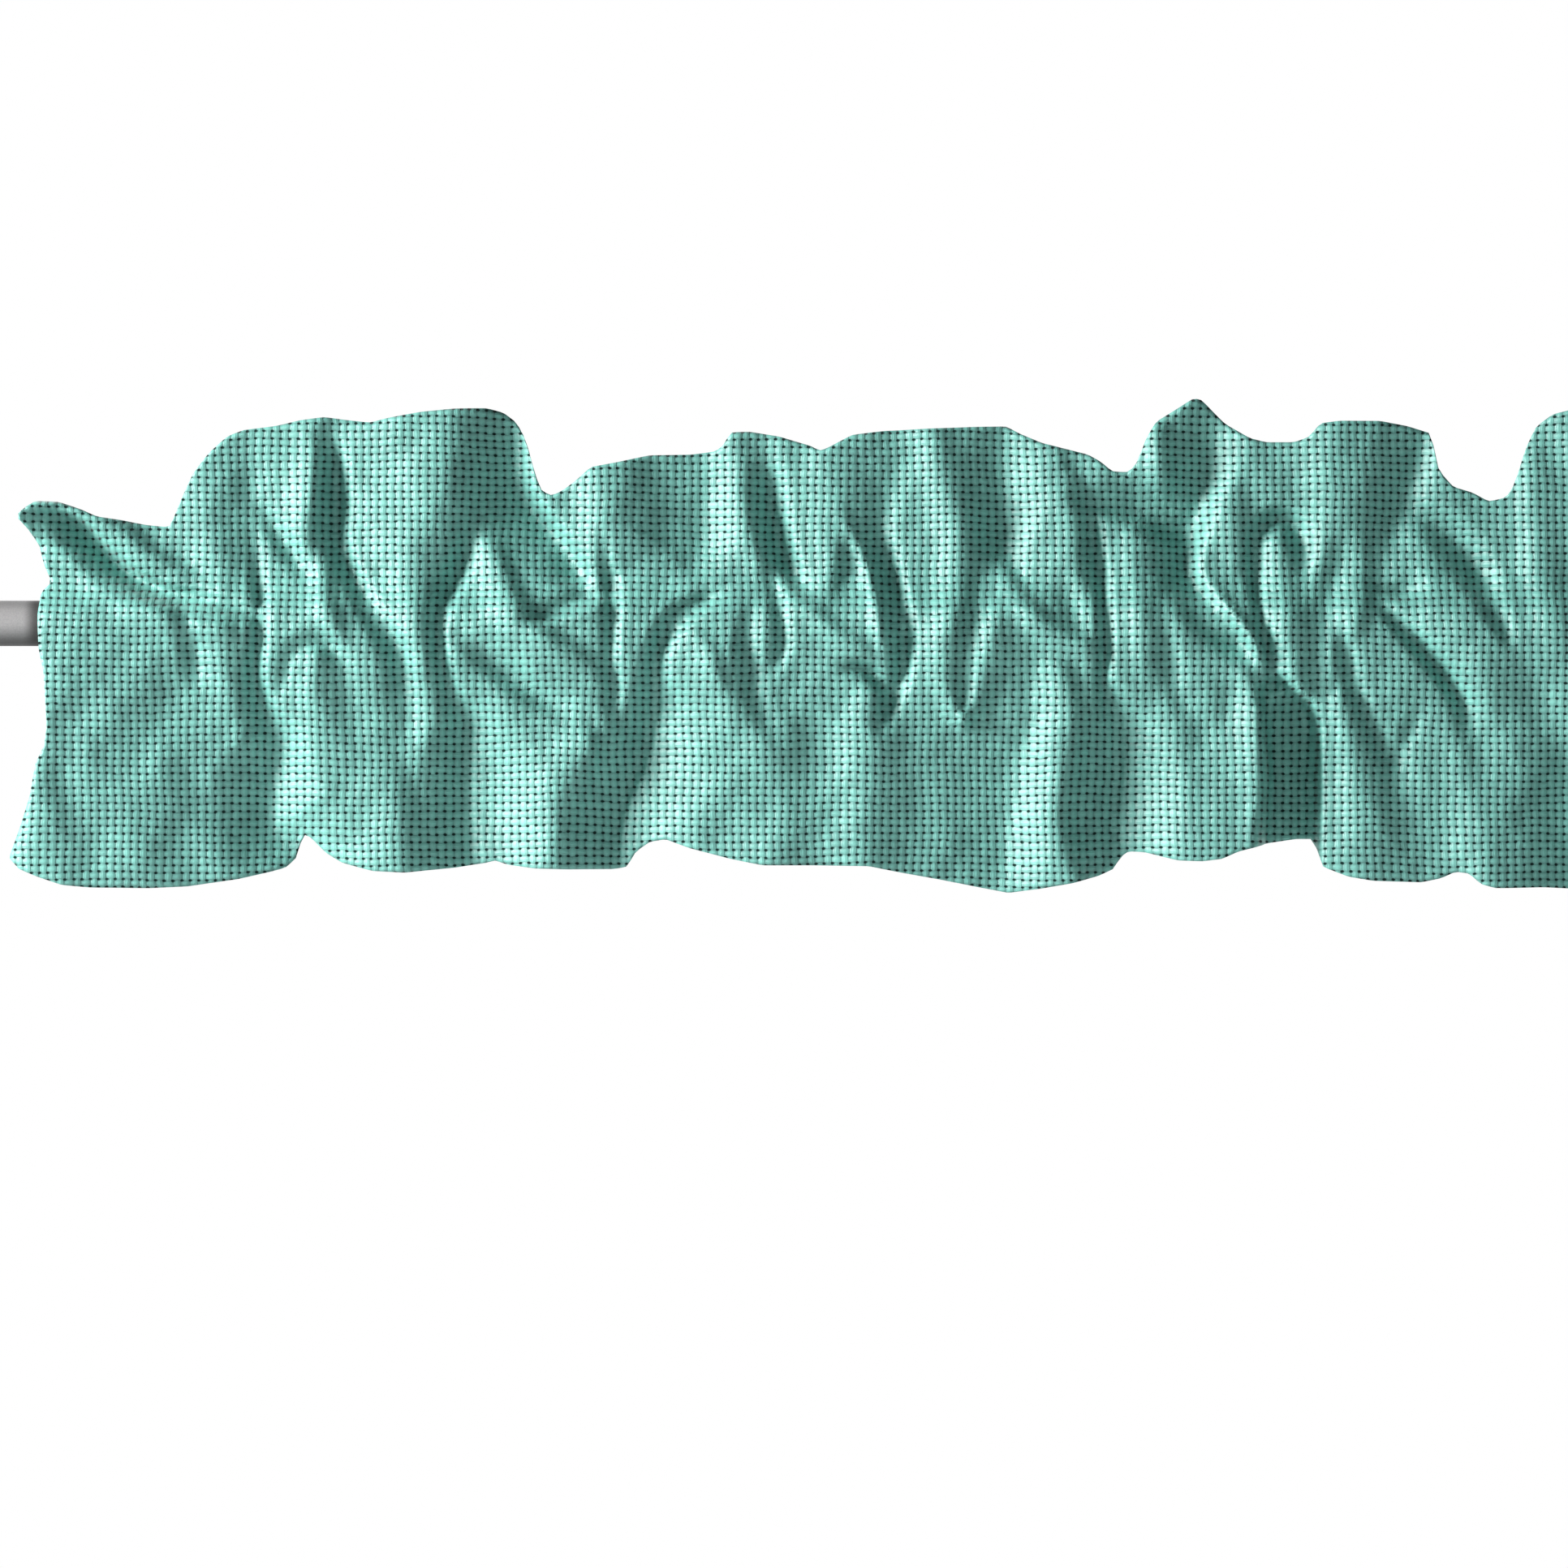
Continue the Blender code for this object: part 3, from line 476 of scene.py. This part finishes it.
headerFolds = {
    "flap crease": ("crease", [
        (16, 66, 9, 4, -3), (34, 66, 14, 4, -8), (50, 59, 18, 5, -12), (65, 43, 18, 5, -13),
        (80, 30, 16, 5, -12), (105, 19, 10, 5, -8), (130, 14, 8, 4.5, -7), (153, 8, 8, 4.5, -7),
        (163, 4, 5, 5, -2)]),
    "flap tip": ("swell", [
        (4, 66, 24, 10, 13), (24, 71, 28, 10, 13), (44, 69, 28, 10, 9), (70, 60, 24, 10, 4),
        (96, 50, 20, 8, 0)]),
    "flap swell": ("swell", [
        (50, 74, 14, 14, 2), (78, 52, 16, 12, 4), (104, 34, 18, 10, 4), (124, 26, 12, 8, 2)]),
    "first header swell": ("swell", [
        (128, 120, 22, 20, 1), (128, 76, 24, 24, 2), (134, 44, 24, 20, 3), (138, 24, 16, 12, 2)]),
    "second header swell": ("swell", [
        (196, 130, 24, 14, 1), (195, 108, 24, 11, 3), (194, 84, 22, 9, 6), (190, 60, 16, 9, 5),
        (190, 42, 10, 8, 2)]),
    "third header swell": ("swell", [
        (272, 134, 60, 38, 6), (270, 94, 60, 38, 8), (260, 48, 44, 30, 7), (256, 14, 20, 16, 5),
        (262, -24, 14, 12, 3)]),
    "dark fall": ("crease", [
        (316, 140, 32, 8, -5), (318, 111, 40, 9, -10), (319, 84, 42, 10, -13), (330, 66, 36, 10, -14),
        (345, 48, 28, 10, -12), (356, 31, 20, 9, -9), (364, 18, 10, 6, -1)]),
    "fourth header swell": ("swell", [
        (367, 104, 18, 40, 4), (371, 74, 22, 45, 6), (372, 50, 20, 40, 6), (368, 28, 10, 12, 1)]),
    "block fall": ("crease", [
        (433, 106, 46, 26, -5), (433, 70, 58, 26, -8), (430, 45, 50, 24, -6), (420, 28, 20, 18, 0)]),
    "fifth header swell": ("swell", [
        (450, 124, 18, 10, 2), (455, 84, 20, 12, 3), (459, 60, 20, 12, 4), (467, 38, 14, 10, 2)]),
    "fifth header crease": ("crease", [
        (468, 122, 10, 12, 0), (472, 100, 12, 12, -3), (474, 88, 12, 12, -8), (476, 69, 13, 12, -10),
        (482, 46, 14, 10, -11), (490, 28, 11, 9, -7), (497, 14, 8, 7, -1)]),
    "sixth header fall": ("crease", [
        (619, 130, 24, 26, -4), (619, 96, 27, 26, -7), (618, 62, 25, 24, -9), (620, 44, 18, 16, -6),
        (628, 28, 9, 6, -2)]),
    "seventh header swell": ("swell", [
        (657, 88, 34, 12, 3), (661, 60, 36, 12, 5), (662, 36, 32, 10, 5), (665, 18, 14, 10, 1)]),
    "edge hollow": ("swell", [
        (664, 78, 10, 12, -2), (684, 73, 12, 18, -6), (704, 68, 14, 24, -9), (722, 56, 12, 24, -6)]),
    "rim": ("swell", [(713, 116, 14, 12, 5), (716, 92, 14, 12, 6), (720, 76, 8, 8, 0)]),
    "great dark fall": ("crease", [
        (750, 142, 24, 22, -3), (747, 108, 32, 22, -8), (740, 80, 36, 14, -12), (733, 50, 28, 10, -13),
        (731, 34, 21, 9, -12), (739, 18, 21, 9, -12), (752, 1, 21, 8, -12), (764, -13, 18, 7, -9),
        (772, -26, 9, 6, -1)]),
    "eighth header swell": ("swell", [(758, 96, 18, 12, 1), (760, 62, 18, 12, 3), (762, 40, 14, 8, 2)]),
    "hook": ("crease", [
        (776, 2, 4, 4, -1), (774, 26, 5, 5, -5), (773, 46, 7, 7, -5), (777, 58, 9, 8, -6),
        (789, 64, 10, 10, -8), (799, 58, 12, 7, -8), (803, 42, 10, 7, -4), (801, 28, 6, 6, 0)]),
    "bright band": ("swell", [
        (822, 130, 34, 60, 5), (822, 96, 30, 60, 6), (820, 66, 22, 44, 5), (816, 44, 12, 20, 4),
        (810, 22, 8, 10, 1)]),
    "seventh header fall": ("crease", [
        (879, 130, 26, 8, -2), (874, 104, 30, 12, -7), (865, 78, 28, 16, -6), (856, 52, 18, 14, -3),
        (850, 26, 8, 8, -1)]),
    "ninth header swell": ("swell", [
        (974, 134, 34, 22, 5), (974, 90, 32, 22, 5), (974, 50, 28, 22, 4)]),
    "last header trough": ("crease", [
        (992, 134, 24, 12, -7), (992, 90, 22, 12, -8), (996, 44, 18, 10, -5)]),
    "last header swell": ("swell", [
        (1030, 134, 28, 26, 6), (1028, 90, 28, 26, 7), (1026, 44, 24, 22, 4)]),
    "end header trough": ("crease", [
        (1066, 134, 22, 14, -5), (1068, 90, 20, 14, -7), (1068, 40, 18, 12, -4)]),
}

def curvedStations(stations, steps=5):
    given = np.array(stations, float)
    ends = np.vstack([2 * given[0] - given[1], given, 2 * given[-1] - given[-2]])
    line = []
    for index in range(1, len(ends) - 2):
        share = np.linspace(0, 1, steps, endpoint=False)[:, None]
        a, b, c, d = ends[index - 1], ends[index], ends[index + 1], ends[index + 2]
        line.append(0.5 * (2 * b + (c - a) * share + (2 * a - 5 * b + 4 * c - d) * share ** 2
                           + (3 * b - a - 3 * c + d) * share ** 3))
    return np.vstack(line + [given[-1:]])


def foldProfile(kind, share, side, distance):
    crease = (1 - share) ** 2 * (1 + share)
    if kind == "crease":
        return crease
    if kind == "pleat":
        # its right side steps forward a little first, then goes on rising
        step = smoothStep(1 - distance / foldShape["stepReach"])
        return crease * (1 - side) + (crease + foldShape["stepShare"] * (step - crease)) * side
    if kind == "hollow":
        return smoothStep((1 - share) / foldShape["hollowEdge"])
    return 0.5 * (1 + np.cos(np.pi * share))


def foldLift(along, height, kind, stations, total, depth):
    # adds one fold to the running total, at the points that it reaches
    points = curvedStations(stations)
    reach = points[:, 2:4].max()
    close = ((along > points[:, 0].min() - reach) & (along < points[:, 0].max() + reach)
             & (height > points[:, 1].min() - reach) & (height < points[:, 1].max() + reach))
    x, z = along[close], height[close]
    nearest = np.full(x.shape, 1e9)
    width = np.ones(x.shape)
    out = np.zeros(x.shape)
    rightness = np.zeros(x.shape)
    for start, stop in zip(points[:-1], points[1:]):
        step = stop - start
        size = float(np.hypot(step[0], step[1])) or 1e-6
        share = np.clip(((x - start[0]) * step[0] + (z - start[1]) * step[1]) / size ** 2, 0, 1)
        distance = np.hypot(x - start[0] - share * step[0], z - start[1] - share * step[1])
        # going down, the right side is where x grows
        turn = (step[0] * (z - start[1]) - step[1] * (x - start[0])) / size
        side = np.clip(0.5 + turn / foldShape["sideBlend"], 0, 1)
        closer = distance < nearest
        nearest = np.where(closer, distance, nearest)
        here = (start[2] + share * step[2]) * (1 - side) + (start[3] + share * step[3]) * side
        width = np.where(closer, np.maximum(here, foldShape["leastWidth"]), width)
        out = np.where(closer, start[4] + share * step[4], out)
        rightness = np.where(closer, side, rightness)
    eased = nearest
    if kind in ("crease", "pleat"):
        blunt = foldShape["blunt"]
        eased = np.sqrt(nearest ** 2 + blunt) - blunt ** 0.5
    total[close] += depth * out * foldProfile(kind, np.clip(eased / width, 0, 1), rightness, nearest)


def gentleUnevenness(along, height):
    # low waves from 17 to 62 mm long, each in its own direction and bent a little
    total = np.zeros(along.shape)
    for index in range(uneven["waves"]):
        turn = 0.5 + 2.4 * index
        wave = uneven["shortest"] + uneven["longer"] * index
        run = along * math.cos(turn) + 0.8 * height * math.sin(turn)
        across = along * math.sin(turn) + height * math.cos(turn)
        bend = 1.3 * np.sin(across / (wave * 0.45) + index)
        total += wave * np.sin(2 * math.pi * run / wave + bend + 1.9 * index)
    return uneven["height"] * total


def clothRelief(along, height):
    total = gentleUnevenness(along, height)
    zones = ((skirtFolds, "skirtDepth"), (pocketFolds, "pocketDepth"), (headerFolds, "headerFoldDepth"))
    for folds, depth in zones:
        for kind, stations in folds.values():
            foldLift(along, height, kind, stations, total, cloth[depth])
    return total


def pocketGuard(height):
    return np.sqrt(np.clip(cloth["pocketRadius"] ** 2 - height ** 2, 0.0, None))


def clothFront(along, height):
    # round the rod's height the folds never cut into the rod
    stand = readTable(clothStand, height) + clothRelief(along, height)
    near = (smoothStep((cloth["guardTop"] - height) / 8.0)
            * smoothStep((height - cloth["guardBottom"]) / 14.0))
    far = -60.0
    outside = pocketGuard(height) + cloth["sheet"] * 1.25
    guard = np.where(near > 0, outside * near + far * (1 - near), far)
    return roundedMaximum(stand, guard, 3.0)


def shiftedEnds(along, height):
    start, end, blend = cloth["start"], cloth["end"], cloth["endBlend"]
    left = (readTable(leftEnd, height) - start) * np.clip(1 - (along - start) / blend, 0, 1)
    right = (readTable(rightEnd, height) - end) * np.clip(1 - (end - along) / blend, 0, 1)
    return along + left + right


def leanOnRod(ridge):
    # how far back a straight line from the header's seam to the rod's back is at leanHeight
    seam = cloth["headerSeam"]
    reach = cloth["rodRadius"] + cloth["rodGap"]
    turn = np.arctan2(seam, ridge) - np.arccos(reach / np.hypot(ridge, seam))
    return (reach - cloth["leanHeight"] * np.sin(turn)) / np.cos(turn)


def frontGrid(stations, tops, hems):
    # from the hem up to the header's edge
    seam, low = cloth["headerSeam"], cloth["pocketSeam"]
    shares = np.linspace(1, 0, cloth["skirtRows"])[:, None]
    skirt = low + shares * (hems - low)
    pocket = np.repeat(np.linspace(low, seam, cloth["pocketRows"])[1:, None], len(stations), axis=1)
    shares = np.linspace(0, 1, cloth["headerRows"])[1:, None]
    header = seam + shares * (tops - seam)
    heights = np.vstack([skirt, pocket, header])
    along = shiftedEnds(np.repeat(stations[None, :], len(heights), axis=0), heights)
    return along, heights, clothFront(along, heights)


def backGrid(stations, tops):
    # from the header's edge down behind the rod to the pocket's lower stitching
    seam, low = cloth["headerSeam"], cloth["pocketSeam"]
    shares = np.linspace(1, 0, cloth["backHeaderRows"])[:, None]
    header = seam + shares * (tops - cloth["backLower"] - seam)
    pocket = np.repeat(np.linspace(seam, low, cloth["backPocketRows"])[1:, None], len(stations), axis=1)
    heights = np.vstack([header, pocket])
    along = shiftedEnds(np.repeat(stations[None, :], len(heights), axis=0), heights)

    # the header's back stands behind its front by a doubled sheet, more where the front is steep
    front = clothFront(along, heights)
    step = 1.5
    slope = (clothFront(along + step, heights) - clothFront(along - step, heights)) / (2 * step)
    steep = np.clip(np.sqrt(1 + slope ** 2), 1.0, cloth["steepest"])
    out = front - cloth["headerDepth"] * steep
    ridge = -0.5 * (front + out)[cloth["backHeaderRows"] - 1]

    # the pocket's back hangs loosely from the rod down to its lower stitching
    fullness = cloth["fullness"] + 0.3 * np.clip(clothRelief(along, heights), -8, 12)
    guard = pocketGuard(heights)
    closeness = smoothStep((heights - low) / (-low - 14.0))
    hang = (cloth["pocketRadius"] + 0.5 * fullness) * closeness - out[-1][None, :] * (1 - closeness)
    behind = np.where(heights > 0, guard + 0.35 * fullness, np.maximum(hang, guard + 0.4))
    behind += cloth["backStand"]
    # over the rod's top the cloth runs straight from the header's stitching to the rod's back
    share = smoothStep((seam - heights) / 8.0)
    over = (1 - share) * -out + share * np.maximum(behind, leanOnRod(ridge) + cloth["backStand"])
    behind = np.where(heights > cloth["overHeight"], over, behind)
    return along, heights, np.where(heights < seam - 0.5, -behind, out)


def buildCloth():
    start, end = cloth["start"], cloth["end"]
    stations = np.linspace(start, end, cloth["columns"])
    tops = np.interp(stations, *softenedEdge(headerEdge, start, end, 5.0))
    hems = np.interp(stations, *softenedEdge(hemEdge, start, end, 4.0))
    frontAlong, frontHeights, frontOut = frontGrid(stations, tops, hems)
    backAlong, backHeights, backOut = backGrid(stations, tops)

    heights = np.vstack([frontHeights, backHeights])
    places = np.vstack([frontAlong, backAlong])
    outs = np.vstack([frontOut, backOut])
    points = np.stack([(places - rodMiddle) * mm, -outs * mm, heights * mm], axis=-1).reshape(-1, 3)
    first = np.arange(heights.size).reshape(heights.shape)
    ring = [first[:-1, :-1], first[:-1, 1:], first[1:, 1:], first[1:, :-1]]
    faces = np.stack(ring, axis=-1).reshape(-1, 4)

    mesh = bpy.data.meshes.new("valanceCloth")
    mesh.from_pydata(points.tolist(), [], faces.tolist())
    mesh.update()

    # the weave runs square to the cloth's edges, over the top fold and down the back
    weaveUp = np.vstack([frontHeights, 2 * tops[None, :] - backHeights])
    weave = np.stack([places * mm, weaveUp * mm], axis=-1).reshape(-1, 2)
    layer = mesh.uv_layers.new(name="weave")
    corners = np.array([loop.vertex_index for loop in mesh.loops])
    layer.data.foreach_set("uv", weave[corners].ravel())

    piece = bpy.data.objects.new("valanceCloth", mesh)
    bpy.context.scene.collection.objects.link(piece)
    bpy.ops.object.select_all(action="DESELECT")
    piece.select_set(True)
    bpy.context.view_layer.objects.active = piece
    bpy.ops.object.shade_smooth()
    wall = piece.modifiers.new("thickness", "SOLIDIFY")
    wall.thickness = cloth["thickness"] * mm
    wall.offset = -1.0
    wall.use_even_offset = False
    bpy.ops.object.modifier_apply(modifier=wall.name)
    piece.data.materials.append(basketCloth())
    print("cloth:", len(piece.data.polygons), "faces")
    return piece


weaveLook = dict(
    across=5.06,  # mm from hole to hole
    down=4.67,
    colour=(0.172, 0.535, 0.462),
    # painted shade seen in the holes between the bundles
    holeShade=(0.005, 0.020, 0.018),
    shade=(0.036, 0.145, 0.134),
    roughness=0.54,
    specular=0.85,
    sheen=0.12,
    bump=0.00077,
    drift=0.0060,
    driftNoise=(14.0, 2.0),  # scale, detail
    wander=0.0011,
    wanderNoise=(150.0, 1.0),
    fuzz=0.16,
    fuzzNoise=(900.0, 3.0),
    strands=0.10,
    crimp=0.42,
    roundness=0.55,
    tint=0.22,
    mottle=0.40,
    mottleNoise=(60.0, 3.0),
    crown=0.62,
    crownEdge=(0.45, 1.0),
    darker=-0.05,
    holeAcross=0.60,
    holeDown=0.50,
    holeEdge=(0.55, 1.9),
)


def basketCloth():
    material, tree, shader = newMaterial("basketCloth")
    maths = partial(compute, tree)
    look = weaveLook

    # threads wander a little, so the grid isn't ruled
    uvMap = tree.nodes.new("ShaderNodeUVMap")
    uvMap.uv_map = "weave"
    place = uvMap.outputs[0]
    parts = split(tree, place)
    drift = split(tree, noise(tree, place, *look["driftNoise"]).outputs["Color"])
    wander = split(tree, noise(tree, place, *look["wanderNoise"]).outputs["Color"])

    def threadPlace(axis, pitch):
        moved = maths("MULTIPLY_ADD", drift[axis], look["drift"], parts[axis])
        moved = maths("MULTIPLY_ADD", wander[axis], look["wander"], moved)
        return maths("DIVIDE", moved, pitch * mm)

    across = threadPlace(0, look["across"])
    down = threadPlace(1, look["down"])
    sineAcross = maths("SINE", maths("MULTIPLY", across, math.pi))
    sineDown = maths("SINE", maths("MULTIPLY", down, math.pi))
    sizeAcross = maths("ABSOLUTE", sineAcross)
    sizeDown = maths("ABSOLUTE", sineDown)

    # bundles of three threads side by side, which go over and under
    def bundle(place, size, lift):
        strands = maths("ABSOLUTE", maths("SINE", maths("MULTIPLY", place, 3.0 * math.pi)))
        strands = maths("MULTIPLY_ADD", strands, look["strands"], 0.5)
        lifted = maths("MULTIPLY_ADD", lift, look["crimp"], strands)
        return maths("MULTIPLY", maths("POWER", size, look["roundness"]), lifted)

    upright = maths("MULTIPLY", maths("SIGN", sineAcross), sineDown)
    level = maths("MULTIPLY", maths("MULTIPLY", maths("SIGN", sineDown), sineAcross), -1.0)
    height = maths("MAXIMUM", bundle(across, sizeAcross, upright), bundle(down, sizeDown, level))
    fuzz = noise(tree, place, *look["fuzzNoise"]).outputs["Fac"]
    rough = maths("MULTIPLY_ADD", fuzz, look["fuzz"], height)
    addBump(tree, shader, rough, look["bump"])

    # painted shade: the holes where four bundles meet are painted nearly black
    holeSize = maths("ADD", maths("POWER", maths("DIVIDE", sizeAcross, look["holeAcross"]), 2.0),
                     maths("POWER", maths("DIVIDE", sizeDown, look["holeDown"]), 2.0))
    hole = ramp(tree, holeSize, *look["holeEdge"], 1.0, 0.0)

    # each bundle has its own shade of the dye and the cloth is mottled; lighter thread crowns with
    # darker grooves between them are painted shade
    cell = tree.nodes.new("ShaderNodeCombineXYZ")
    tree.links.new(maths("FLOOR", across), cell.inputs[0])
    tree.links.new(maths("FLOOR", down), cell.inputs[1])
    tint = tree.nodes.new("ShaderNodeTexWhiteNoise")
    tint.noise_dimensions = "2D"
    tree.links.new(cell.outputs[0], tint.inputs["Vector"])
    mottle = noise(tree, place, *look["mottleNoise"]).outputs["Fac"]
    # painted shade: the colour follows the threads' height, darker in the grooves
    crown = ramp(tree, rough, *look["crownEdge"], shape="LINEAR")
    share = maths("MULTIPLY_ADD", crown, look["crown"], look["darker"])
    share = maths("MULTIPLY_ADD", mottle, look["mottle"], share)
    share = maths("MULTIPLY_ADD", tint.outputs["Value"], look["tint"], share)
    threads = mixColours(tree, share, (*look["shade"], 1.0), (*look["colour"], 1.0))
    tree.links.new(mixColours(tree, hole, threads, (*look["holeShade"], 1.0)), shader["Base Color"])

    # no gleam comes out of a hole
    gleam = maths("MULTIPLY_ADD", hole, -look["specular"], look["specular"])
    tree.links.new(gleam, shader["Specular IOR Level"])
    shader["Roughness"].default_value = look["roughness"]
    shader["Sheen Weight"].default_value = look["sheen"]
    shader["Sheen Roughness"].default_value = 0.5
    shader["Sheen Tint"].default_value = (0.9, 1.0, 0.98, 1.0)
    return material


rodLook = dict(
    colour=(0.335, 0.348, 0.350),
    # the colour of the painted shade and painted shadow on the rod
    paintedShadeColour=(0.02, 0.02, 0.02),
    roughness=0.5,
    metallic=0.35,
    bump=0.0001,
    grain=0.18,
    grainNoise=(1100.0, 4.0),
    undersideShade=0.18,
    undersideShadeEdge=(-0.013, -0.001),
    topShade=0.72,
    topShadeEdge=(0.007, 0.0135),
    clothShadowDepth=0.2,
    clothShadowEdge=(0.527, 0.536),
)


def rodSteel():
    material, tree, shader = newMaterial("rodSteel")
    look = rodLook
    coordinates = tree.nodes.new("ShaderNodeTexCoord")
    place = coordinates.outputs["Object"]
    parts = split(tree, place)

    # painted shade: darker underneath and a little on top, and a painted shadow where the cloth meets
    # the rod
    below = ramp(tree, parts["Z"], *look["undersideShadeEdge"], look["undersideShade"], 1.0)
    above = ramp(tree, parts["Z"], *look["topShadeEdge"], 1.0, look["topShade"])
    fromMiddle = compute(tree, "ABSOLUTE", parts["X"])
    clothShadow = ramp(tree, fromMiddle, *look["clothShadowEdge"], look["clothShadowDepth"], 1.0)
    unshaded = compute(tree, "MULTIPLY", compute(tree, "MULTIPLY", below, above), clothShadow)

    grain = noise(tree, place, *look["grainNoise"]).outputs["Fac"]
    darker = tuple((1 - look["grain"]) * value for value in look["colour"])
    lighter = tuple((1 + look["grain"]) * value for value in look["colour"])
    metal = mixColours(tree, grain, (*darker, 1.0), (*lighter, 1.0))
    # the steel is mixed towards the painted shade colour where it is shaded
    tree.links.new(mixColours(tree, unshaded, (*look["paintedShadeColour"], 1.0), metal), shader["Base Color"])
    addBump(tree, shader, grain, look["bump"])
    shader["Metallic"].default_value = look["metallic"]
    shader["Roughness"].default_value = look["roughness"]
    return material


setStudio()
piece = buildCloth()
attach(piece, "root")
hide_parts("valance")

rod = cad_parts["rod"]
for place in rod.material_slots:
    place.material = rodSteel()
print("rod finished")
